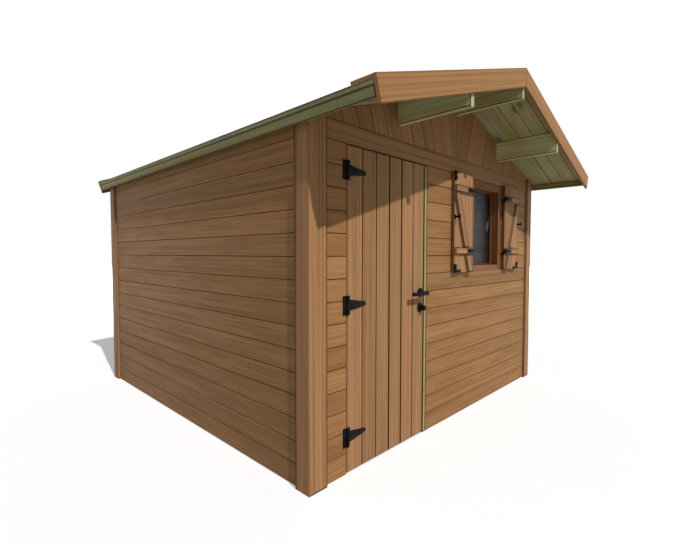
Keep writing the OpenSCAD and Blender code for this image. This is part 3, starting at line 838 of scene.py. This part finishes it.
# the lock jamb's rim paints a line of shade along its edges
b.add(rect(0, HEAD_Z - JOINT, WALL_FM[0].x - LOCK_JAMB_W, WALL_FM[0].x - SHY), UPRIGHT, front_face, depth,
      0.0045, rim=0.009)
b.add(rect(0, HEAD_Z - 0.0132, JAMBS[0].x, JAMBS[0].x + HINGE_JAMB_W), UPRIGHT, behind, JAMBS[1].y - IN_Y,
      dark=0.4)
b.make(JAMB_WOOD, stands_for=["door_jambs"])
b = Boards("door_stop_timbers")
b.add(rect(0, HEAD_Z - 0.0152, STOPS[1].x - STOP_W, STOPS[1].x - SHY), UPRIGHT, behind, STOPS[1].y - IN_Y,
      0.002, dark=0.3)
b.add(rect(STOPS[0].x, STOPS[1].x, HEAD_Z - STOP_W, STOPS[1].z), LEVEL, behind, STOPS[1].y - IN_Y, 0.002,
      dark=0.3)
b.make(JAMB_WOOD, stands_for=["door_stops"])

# ---------------------------------------------------------------- window


def ring_frame(b, a, c, side_w, low_w):
    """Four members round an opening from corner a to c: sides, with head and sill between them."""
    origin, depth = (0, a.y, 0), c.y - a.y
    b.add(rect(a.z, c.z, a.x, a.x + side_w), UPRIGHT, origin, depth, dark=0.5)
    b.add(rect(a.z, c.z, c.x - side_w, c.x), UPRIGHT, origin, depth, dark=0.5)
    b.add(rect(a.x + side_w, c.x - side_w, c.z - side_w, c.z), LEVEL, origin, depth, dark=0.5)
    b.add(rect(a.x + side_w, c.x - side_w, a.z, a.z + low_w), LEVEL, origin, depth, dark=0.5)


REBATE = 0.005  # how far the sash's members show inside the frame's
b = Boards("window_frame_members")
ring_frame(b, *FRAME, GLASS[0].x - FRAME[0].x - REBATE, GLASS[0].z - FRAME[0].z - REBATE)
b.make(DARK_WOOD, stands_for=["window_frame"])

BEAD_W, BEAD_T, BEAD_C = 0.007, 0.010, 0.004  # beads that hold the glass from outside
bead_at = (0, GLASS[0].y - BEAD_T - 0.0005, 0)
b = Boards("window_sash_members")
ring_frame(b, *SASH, GLASS[0].x - SASH[0].x, GLASS[0].x - SASH[0].x)
for x0 in (GLASS[0].x, GLASS[1].x - BEAD_W):
    b.add(rect(GLASS[0].z, GLASS[1].z, x0, x0 + BEAD_W), UPRIGHT, bead_at, BEAD_T, BEAD_C, dark=0.3)
for z0 in (GLASS[0].z, GLASS[1].z - BEAD_W):
    b.add(rect(GLASS[0].x + BEAD_W, GLASS[1].x - BEAD_W, z0, z0 + BEAD_W), LEVEL, bead_at, BEAD_T, BEAD_C,
          dark=0.3)
b.make(DARK_WOOD, stands_for=["window_sash"])


def dress(node, material):
    """Gives a CAD node its material."""
    obj = bpy.data.objects[node]
    if obj.data.materials:
        for i in range(len(obj.data.materials)):
            obj.data.materials[i] = material
    else:
        obj.data.materials.append(material)


dress("window_glass", CLEAR)

# ---------------------------------------------------------------- ironwork


def softened(node, name, material, body, width, segments=2):
    """A copy of a CAD node with its edges rounded, which stands for it."""
    mesh = bpy.data.objects[node].data.copy()
    bm = bmesh.new()
    bm.from_mesh(mesh)
    bmesh.ops.remove_doubles(bm, verts=bm.verts, dist=1e-6)
    bmesh.ops.dissolve_limit(bm, angle_limit=math.radians(1), verts=bm.verts, edges=bm.edges)
    bm.to_mesh(mesh)
    bm.free()
    mesh.materials.clear()
    obj = show(name, mesh, material)
    bevel = obj.modifiers.new("round", "BEVEL")
    bevel.width, bevel.segments, bevel.limit_method = width, segments, "ANGLE"
    bevel.angle_limit = math.radians(30)
    bevel.use_clamp_overlap = True
    apply_modifiers(obj)
    obj.data.shade_smooth()
    obj.data.set_sharp_from_angle(angle=math.radians(35))
    finish_piece(obj, body, [node])


softened("window_handle", "window_handle_cast", SATIN, "shed", 0.002)
softened("hinge_plates", "hinge_plates_forged", BLACK_IRON, "shed", 0.0008)
softened("hinge_straps", "hinge_straps_forged", BLACK_IRON, "door", 0.0008)
softened("lock_plates", "lock_plates_turned", BLACK_IRON, "door", 0.0015)
softened("lever", "lever_cast", BLACK_IRON, "door_lever", 0.003, 3)
softened("shutter_pintles", "shutter_pintles_forged", BLACK_IRON, "shed", 0.0008)
for side in ("left", "right"):
    softened("shutter_%s_ironwork" % side, "shutter_%s_fittings" % side, BLACK_IRON, side + "_shutter",
             0.0008)

# screw heads on the door hinges, measured from each hinge pin
PLATE_SCREWS = ((-0.022, -0.040), (-0.022, 0.0), (-0.022, 0.040))
STRAP_SCREWS = ((0.016, -0.044), (0.016, 0.044), (0.034, 0.0), (0.066, 0.0), (0.102, 0.0), (0.140, 0.0))
bm_wall, bm_door = bmesh.new(), bmesh.new()
for z in HINGE_Z:
    for dx, dz in PLATE_SCREWS:
        dome(bm_wall, (HINGE_X + dx, FACE_Y - 0.005, z + dz), -Y, 0.0048, 0.0022)
    for dx, dz in STRAP_SCREWS:
        dome(bm_door, (HINGE_X + dx, FACE_Y - 0.005, z + dz), -Y, 0.0046 if dx > 0.02 else 0.0036, 0.0022)
mesh_piece("hinge_plate_screws", bm_wall, BLACK_IRON, "shed", smooth=40)
mesh_piece("hinge_strap_screws", bm_door, BLACK_IRON, "door", smooth=40)

# ---------------------------------------------------------------- shutters

PIN_X = FRAME[0].x - 0.001  # the left shutter's hinge
SHUT_W, SHUT_T = SHUT[1].x - SHUT[0].x, SHUT[1].y - SHUT[0].y
BATTEN_Z = (SHUT[0].z + 0.139, SHUT[1].z - 0.149)  # lower edges of the battens
BATTEN_H, BATTEN_T = 0.053, SHUT[0].y - BATTENS[0].y - SEAT
BRACE_RUN = SHUT_W - 0.073  # how far the brace moves across below the upper batten
BRACE_H = BATTEN_Z[1] - SHUT[0].z
SHUT_BRACE_W = 0.076


def brace_x(z):
    """Left edge of the left shutter's brace at height z."""
    return SHUT[0].x - SHUT_BRACE_W + 0.061 + BRACE_RUN * (BATTEN_Z[1] - z) / BRACE_H


def shutter(tag):
    """Three boards, two battens, a brace in two lengths, and screws. The right one mirrors the left one."""
    left = tag == "left"
    hand = 1 if left else -1
    body = tag + "_shutter"

    def place(x):
        """Where the left shutter's x comes on this one."""
        return x if left else FRAME[0].x + FRAME[1].x - x

    b = Boards("shutter_%s_boards" % tag)
    for i in range(3):
        x0, x1 = sorted((place(SHUT[0].x + SHUT_W * i / 3 + JOINT / 2),
                         place(SHUT[0].x + SHUT_W * (i + 1) / 3 - JOINT / 2)))
        # rims of painted shade outline the outer boards, faint where they meet the middle board
        b.add(rect(SHUT[0].z, SHUT[1].z, x0, x1), UPRIGHT, (0, SHUT[0].y, 0), SHUT_T, 0.002, dark=0.8,
              cut=0.4, side=0.6, rim=(0.009, 0.0, 0.009)[i], quiet=(0, (hand, 0, -hand)[i]))
    # notches round the pintles
    x0, x1 = sorted((place(SHUT[1].x - 0.007), place(SHUT[1].x + 0.01)))
    notches = [((x0, SHUT[0].y - 0.01, z - 0.012), (x1, SHUT[1].y + 0.01, z + 0.054)) for z in BATTEN_Z]
    b.make(SHUTTER_WOOD, body, ["shutter_" + tag], notches)

    b = Boards("shutter_%s_ledges" % tag)
    at = (0, BATTENS[0].y, 0)
    x0, x1 = sorted((place(SHUT[0].x), place(PIN_X - 0.012)))
    # rims of painted shade outline the battens and the brace
    for z in BATTEN_Z:
        b.add(rect(x0, x1, z, z + BATTEN_H), LEVEL, at, BATTEN_T, cut=0.5, rim=0.009)
    lean = math.atan2(1.0, -BRACE_RUN / BRACE_H * hand)
    for z0, z1 in ((SHUT[0].z, BATTEN_Z[0] - 0.002), (BATTEN_Z[0] + BATTEN_H + 0.002, BATTEN_Z[1] - 0.002)):
        x0, x1 = brace_x(z0), brace_x(z1)
        poly = [(x0, z0), (x0 + SHUT_BRACE_W, z0), (x1 + SHUT_BRACE_W, z1), (x1, z1)]
        poly = clip(clip(poly, (-1, 0), -SHUT[0].x), (1, 0), SHUT[1].x)
        if not left:
            poly = [(place(x), z) for x, z in poly][::-1]
        b.add(poly, LEVEL, at, BATTEN_T, turn=lean, rim=0.012)
    b.make(SHUTTER_WOOD, body, ["shutter_%s_battens" % tag])

    bm = bmesh.new()
    for z in BATTEN_Z:
        for dx in (0.03, 0.065, 0.105):
            dome(bm, (place(PIN_X - dx), BATTENS[0].y - 0.004, z + BATTEN_H / 2), -Y, 0.0042, 0.002)
    mesh_piece("shutter_%s_screws" % tag, bm, BLACK_IRON, body, smooth=40)


shutter("left")
shutter("right")

# ---------------------------------------------------------------- floor


def floor_look():
    """Pale floor that keeps the shed's shadow and turns into the white background further out."""
    t = Tree(bpy.data.materials.new("studio_floor"))
    far = t.node("VectorMath", {"operation": "LENGTH"})
    t.put(far.inputs[0], t.node("TexCoord").outputs["Object"])
    fade = t.span(far.outputs["Value"], 4.2, 7.0, 0.11, 1.0)
    plain = t.node("BsdfDiffuse", Color=(0.50, 0.50, 0.50, 1))
    pale = t.node("BsdfDiffuse", Color=(0.96, 0.97, 1, 1))
    white = t.node("Emission", Color=(0.96, 0.98, 1, 1), Strength=2.5)
    shown = t.choose(fade, pale.outputs[0], white.outputs[0])
    t.node("OutputMaterial", Surface=t.choose(t.seen(), plain.outputs[0], shown))
    return t.owner


bm = bmesh.new()
bmesh.ops.create_circle(bm, cap_ends=True, segments=96, radius=40)
mesh = bpy.data.meshes.new("studio_floor")
bm.to_mesh(mesh)
bm.free()
ground = show("studio_floor", mesh, floor_look())
ground.location.z = -0.001

# ---------------------------------------------------------------- light

world = bpy.data.worlds.new("studio")
bpy.context.scene.world = world
t = Tree(world)
dim = t.node("Background", Color=(1.0, 0.99, 0.97, 1), Strength=0.25)
bright = t.node("Background", Color=(1, 1, 1, 1), Strength=1.0)
t.node("OutputWorld", Surface=t.choose(t.seen(), dim.outputs[0], bright.outputs[0]))

# sun from the front, a little from the left and 44 degrees up
key = bpy.data.lights.new("key", "SUN")
key.energy, key.angle, key.color = 2.85, math.radians(1.0), (1.0, 0.99, 0.965)
key_obj = bpy.data.objects.new("key", key)
bpy.context.scene.collection.objects.link(key_obj)
key_obj.rotation_euler = Vector((0.139, 0.701, -0.700)).to_track_quat("-Z", "Y").to_euler()

# ---------------------------------------------------------------- camera, solved from the photo's plank lines

cam = bpy.data.cameras.new("camera")
cam.sensor_width, cam.lens, cam.clip_end = 36.0, 21.862, 200.0
cam_obj = bpy.data.objects.new("camera", cam)
bpy.context.scene.collection.objects.link(cam_obj)
cam_obj.location = (-2.8717, -2.8754, 1.2568)
cam_obj.rotation_euler = (math.radians(90 - 2.592), 0, math.radians(-45.673))
bpy.context.scene.camera = cam_obj
bpy.context.scene.view_settings.view_transform = "Standard"

bpy.context.view_layer.update()
